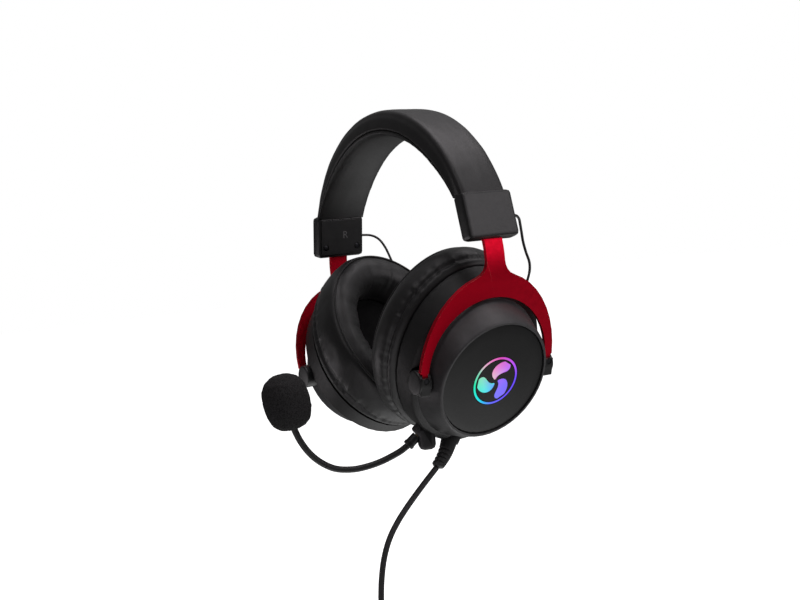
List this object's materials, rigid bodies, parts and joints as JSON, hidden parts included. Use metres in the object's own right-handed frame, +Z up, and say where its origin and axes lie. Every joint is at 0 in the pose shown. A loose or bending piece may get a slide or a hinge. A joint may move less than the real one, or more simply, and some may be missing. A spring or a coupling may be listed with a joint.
{
  "type": "gaming headset",
  "caption": "Over-ear wired gaming headset with padded headband, sliding red forks, tilting lit ear cups and a detachable gooseneck microphone.",
  "frame": {"origin": "middle of the headband pad's underside, where the headset rests on a head", "axes": "+Z up, -Y the way the wearer faces, +X the wearer's left, the side with the microphone and the cable"},
  "size_m": [0.189, 0.1671, 0.3787],
  "materials": {
    "band_leatherette": "soft black leatherette with a satin sheen",
    "cushion_leatherette": "soft black protein leather, lightly creased",
    "foam": "open-cell black foam",
    "steel": "plain bright steel",
    "dark_steel": "black-plated steel",
    "red_aluminium": "satin red anodised, with brighter chamfered edges",
    "black_plastic": "fine-grained satin black",
    "satin_plastic": "satin dark grey",
    "plate_plastic": "matte black",
    "diffuser": "milky light guide, lit in changing colours",
    "board": "circuit board with green solder mask",
    "screen_cloth": "thin black acoustic cloth",
    "cable_rubber": "matte black sheath",
    "boom_rubber": "satin black sleeve over a gooseneck",
    "gold": "gold-plated contacts"
  },
  "bodies": {
    "headband": {"headband_cover": "band_leatherette", "headband_foam": "foam", "headband_pad": "band_leatherette", "headband_strip": "steel", "headband_lead": "cable_rubber", "slider_housing_left": "black_plastic", "slider_housing_right": "black_plastic", "slider_lid_left": "black_plastic", "slider_lid_right": "black_plastic", "housing_screw_left_front": "dark_steel", "housing_screw_left_rear": "dark_steel", "housing_screw_right_front": "dark_steel", "housing_screw_right_rear": "dark_steel", "detent_spring_left": "steel", "detent_spring_right": "steel"},
    "fork_left": {"fork_left": "red_aluminium", "pivot_knob_left_front": "black_plastic", "pivot_knob_left_rear": "black_plastic", "knob_screw_left_front": "dark_steel", "knob_screw_left_rear": "dark_steel", "side_lead_left": "cable_rubber"},
    "fork_right": {"fork_right": "red_aluminium", "pivot_knob_right_front": "black_plastic", "pivot_knob_right_rear": "black_plastic", "knob_screw_right_front": "dark_steel", "knob_screw_right_rear": "dark_steel", "side_lead_right": "cable_rubber"},
    "cup_left": {"cup_shell_left": "satin_plastic", "outer_plate_left": "plate_plastic", "light_guide_left": "diffuser", "emblem_cap_left": "plate_plastic", "led_board_left": "board", "baffle_left": "black_plastic", "driver_left": "dark_steel", "ear_screen_left": "screen_cloth", "ear_cushion_left": "cushion_leatherette", "control_board": "board", "mic_socket": "gold", "strain_relief": "cable_rubber", "cable": "cable_rubber", "cable_coil": "cable_rubber", "cable_tail": "cable_rubber", "usb_plug_grip": "cable_rubber", "usb_plug_shell": "steel"},
    "cup_right": {"cup_shell_right": "satin_plastic", "outer_plate_right": "plate_plastic", "light_guide_right": "diffuser", "emblem_cap_right": "plate_plastic", "led_board_right": "board", "baffle_right": "black_plastic", "driver_right": "dark_steel", "ear_screen_right": "screen_cloth", "ear_cushion_right": "cushion_leatherette"},
    "mic_plug": {"mic_plug_pin": "gold"},
    "boom_lower": {"mic_sleeve": "black_plastic", "gooseneck_lower": "boom_rubber"},
    "boom_upper": {"gooseneck_upper": "boom_rubber"},
    "mic_head": {"mic_body": "black_plastic", "mic_capsule": "steel", "mic_foam": "foam"}
  },
  "joints": [
    {"name": "slider_left", "type": "slide", "parent": "headband", "child": "fork_left", "axis": [0.1908, 0, -0.9816], "range_m": [-0.001, 0.017], "deforming": ["side_lead_left"]},
    {"name": "slider_right", "type": "slide", "parent": "headband", "child": "fork_right", "axis": [-0.1908, 0, -0.9816], "range_m": [-0.001, 0.017], "deforming": ["side_lead_right"]},
    {"name": "cup_tilt_left", "type": "hinge", "parent": "fork_left", "child": "cup_left", "pos_m": [0.0669, 0, -0.1458], "axis": [0, 1, 0], "range_deg": [-38, 0], "deforming": ["side_lead_left"]},
    {"name": "cup_tilt_right", "type": "hinge", "parent": "fork_right", "child": "cup_right", "pos_m": [-0.0669, 0, -0.1458], "axis": [0, -1, 0], "range_deg": [-38, 0], "deforming": ["side_lead_right"]},
    {"name": "mic_unplug", "type": "slide", "parent": "cup_left", "child": "mic_plug", "axis": [-0.3309, -0.6889, -0.6449], "range_m": [0, 0.01]},
    {"name": "mic_swivel", "type": "hinge", "parent": "mic_plug", "child": "boom_lower", "pos_m": [0.0353, -0.0292, -0.1806], "axis": [-0.3309, -0.6889, -0.6449], "range_deg": [-60, 40]},
    {"name": "gooseneck_bend_1", "type": "hinge", "parent": "boom_lower", "child": "boom_upper", "pos_m": [0.0198, -0.0667, -0.1957], "axis": [-0.9411, 0.303, 0.15], "range_deg": [-10, 10]},
    {"name": "gooseneck_bend_2", "type": "hinge", "parent": "boom_upper", "child": "mic_head", "pos_m": [0.0136, -0.0988, -0.167], "axis": [-0.9411, 0.303, 0.15], "range_deg": [-25, 25]}
  ]
}
